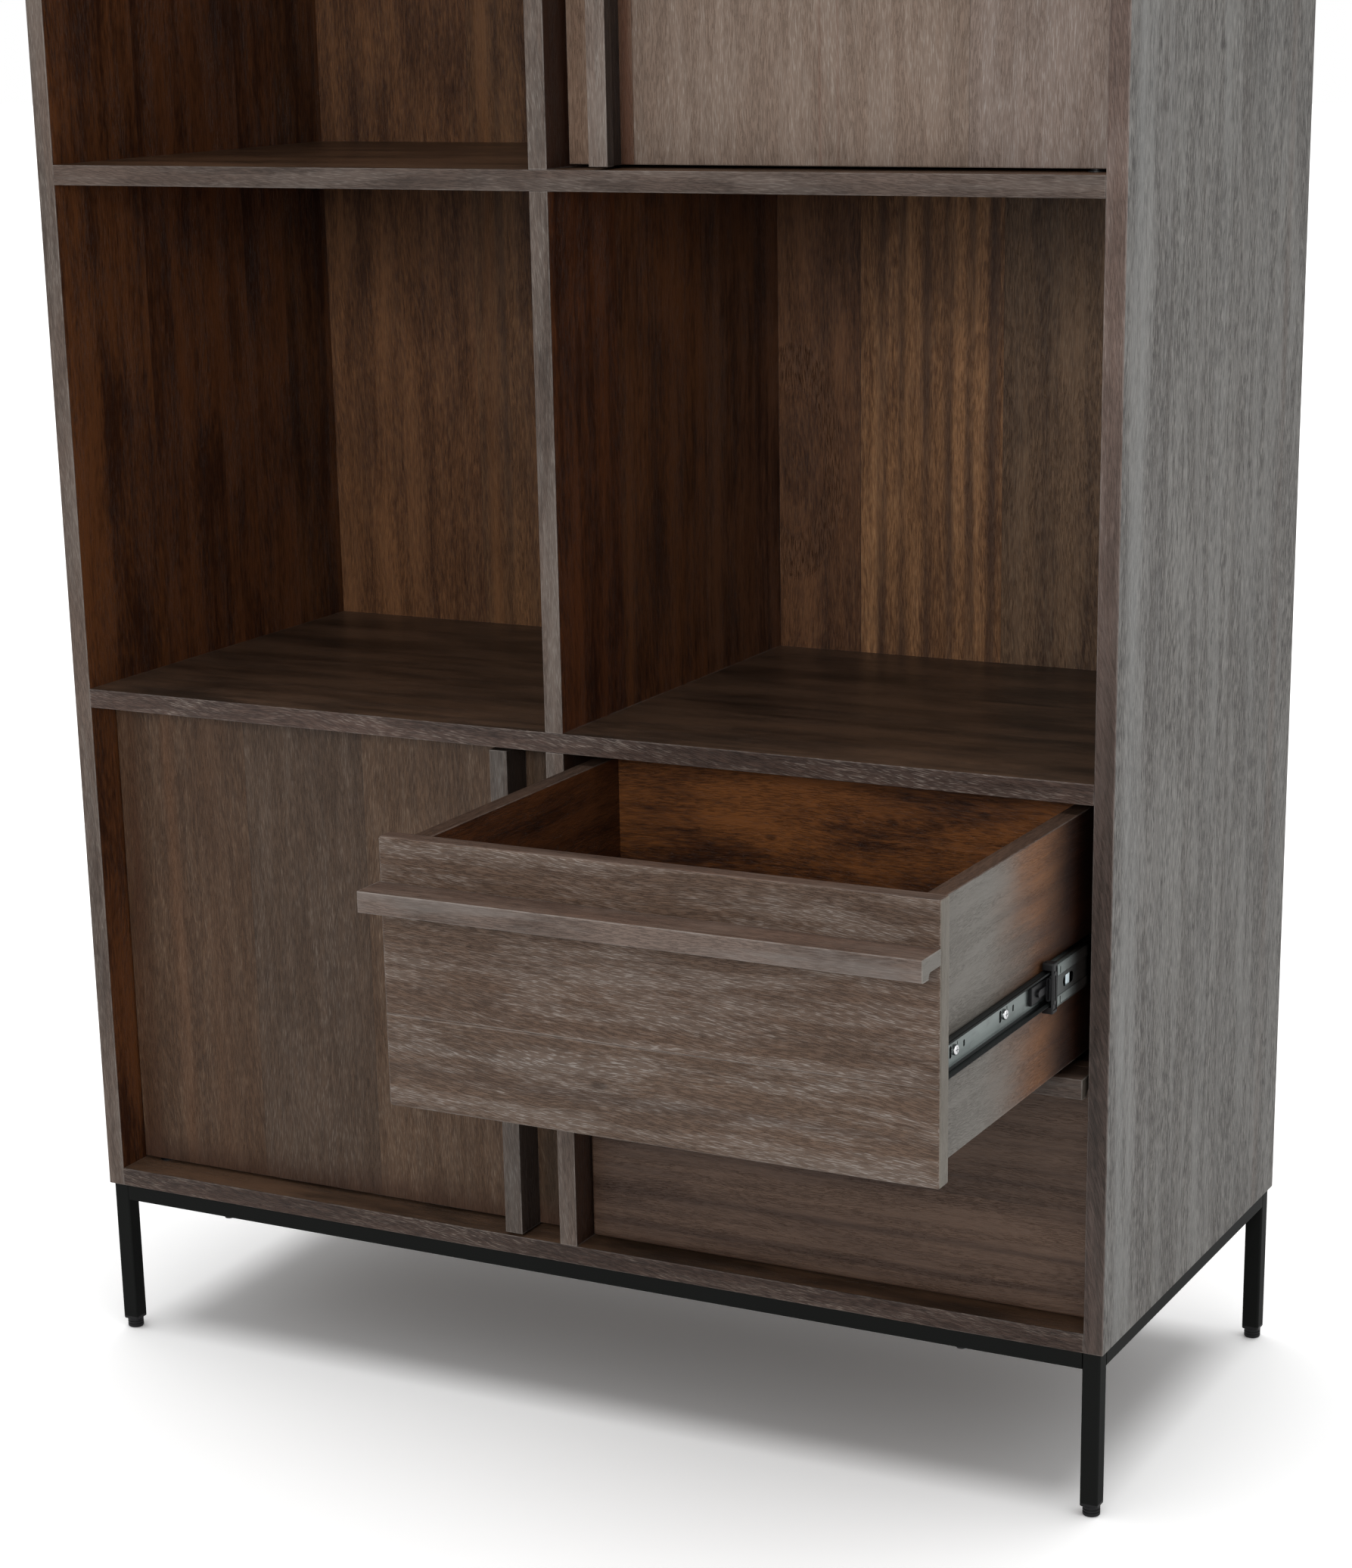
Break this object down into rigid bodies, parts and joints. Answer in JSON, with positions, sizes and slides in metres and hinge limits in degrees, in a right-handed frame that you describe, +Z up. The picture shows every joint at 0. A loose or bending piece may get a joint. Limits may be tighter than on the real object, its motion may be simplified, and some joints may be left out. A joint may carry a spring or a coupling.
{
  "type": "bookcase with bottom drawers",
  "caption": "Bookcase with open cells, pivoting doors with full-height finger-pull bars and bottom drawers on ball-bearing slides, on a thin square-tube steel base.",
  "frame": {"origin": "on the floor, at the centre of the outline's box with the upper drawer standing open", "axes": "+Z up, +X to the right as seen from the front, +Y to the back"},
  "size_m": [1, 0.777, 1.548],
  "materials": {
    "washed_wood": "open-grain wood with a pale limed wash, matte",
    "front_wood": "brown wood with pale pores, matte",
    "inner_wood": "dark warm brown wood, satin",
    "drawer_wood": "warm brown wood, satin",
    "dowel_wood": "bare turned wood",
    "base_steel": "black satin powder coat",
    "slide_steel": "black zinc plated sheet",
    "screw_steel": "bright zinc plated",
    "black_plastic": "moulded, satin"
  },
  "bodies": {
    "case": {"side_panel_left": "washed_wood", "side_panel_right": "washed_wood", "top_panel": "washed_wood", "bottom_panel": "inner_wood", "shelf_lower": "inner_wood", "shelf_upper": "inner_wood", "divider_bottom": "inner_wood", "divider_middle": "inner_wood", "divider_top": "inner_wood", "back_panel": "inner_wood", "case_dowels": "dowel_wood", "base_rail_front": "base_steel", "base_rail_back": "base_steel", "base_rail_left": "base_steel", "base_rail_right": "base_steel", "base_leg_front_left": "base_steel", "base_leg_front_right": "base_steel", "base_leg_back_left": "base_steel", "base_leg_back_right": "base_steel", "slide_cabinet_members": "slide_steel", "back_screws": "screw_steel", "base_screws": "screw_steel", "slide_cabinet_screws": "screw_steel", "leg_glides": "black_plastic", "pivot_bushes": "black_plastic", "door_catches": "black_plastic"},
    "lower_door": {"lower_door_panel": "front_wood", "lower_door_handle": "front_wood", "lower_door_strike": "screw_steel", "lower_door_pivot_pins": "screw_steel"},
    "upper_door": {"upper_door_panel": "front_wood", "upper_door_handle": "front_wood", "upper_door_strike": "screw_steel", "upper_door_pivot_pins": "screw_steel"},
    "upper_drawer": {"upper_drawer_front": "front_wood", "upper_drawer_handle": "front_wood", "upper_drawer_side_left": "drawer_wood", "upper_drawer_side_right": "drawer_wood", "upper_drawer_back": "drawer_wood", "upper_drawer_bottom": "drawer_wood", "upper_drawer_slide_members": "slide_steel", "upper_drawer_screws": "screw_steel", "upper_drawer_release_levers": "black_plastic"},
    "lower_drawer": {"lower_drawer_front": "front_wood", "lower_drawer_handle": "front_wood", "lower_drawer_side_left": "drawer_wood", "lower_drawer_side_right": "drawer_wood", "lower_drawer_back": "drawer_wood", "lower_drawer_bottom": "drawer_wood", "lower_drawer_slide_members": "slide_steel", "lower_drawer_screws": "screw_steel", "lower_drawer_release_levers": "black_plastic"},
    "upper_drawer_left_middle": {"upper_drawer_left_middle_member": "slide_steel", "upper_drawer_left_bumper": "black_plastic"},
    "upper_drawer_right_middle": {"upper_drawer_right_middle_member": "slide_steel", "upper_drawer_right_bumper": "black_plastic"},
    "lower_drawer_left_middle": {"lower_drawer_left_middle_member": "slide_steel", "lower_drawer_left_bumper": "black_plastic"},
    "lower_drawer_right_middle": {"lower_drawer_right_middle_member": "slide_steel", "lower_drawer_right_bumper": "black_plastic"}
  },
  "joints": [
    {"name": "lower_door_swing", "type": "hinge", "parent": "case", "child": "lower_door", "pos_m": [-0.4605, -0.018, 0.387], "axis": [0, 0, -1], "range_deg": [0, 100]},
    {"name": "upper_door_swing", "type": "hinge", "parent": "case", "child": "upper_door", "pos_m": [0.4605, -0.018, 1.309], "axis": [0, 0, 1], "range_deg": [0, 100]},
    {"name": "upper_drawer_travel", "type": "slide", "parent": "case", "child": "upper_drawer", "axis": [0, -1, 0], "range_m": [-0.322, 0.028]},
    {"name": "lower_drawer_travel", "type": "slide", "parent": "case", "child": "lower_drawer", "axis": [0, -1, 0], "range_m": [0, 0.35]},
    {"name": "upper_drawer_left_middle_travel", "type": "slide", "parent": "case", "child": "upper_drawer_left_middle", "axis": [0, -1, 0], "range_m": [-0.12246, 0.01074]},
    {"name": "upper_drawer_right_middle_travel", "type": "slide", "parent": "case", "child": "upper_drawer_right_middle", "axis": [0, -1, 0], "range_m": [-0.12246, 0.01074]},
    {"name": "lower_drawer_left_middle_travel", "type": "slide", "parent": "case", "child": "lower_drawer_left_middle", "axis": [0, -1, 0], "range_m": [0, 0.1331]},
    {"name": "lower_drawer_right_middle_travel", "type": "slide", "parent": "case", "child": "lower_drawer_right_middle", "axis": [0, -1, 0], "range_m": [0, 0.1331]}
  ],
  "couplings": [
    {"joint": "upper_drawer_left_middle_travel", "follows": "upper_drawer_travel", "ratio": 0.38},
    {"joint": "upper_drawer_right_middle_travel", "follows": "upper_drawer_travel", "ratio": 0.38},
    {"joint": "lower_drawer_left_middle_travel", "follows": "lower_drawer_travel", "ratio": 0.38},
    {"joint": "lower_drawer_right_middle_travel", "follows": "lower_drawer_travel", "ratio": 0.38}
  ]
}
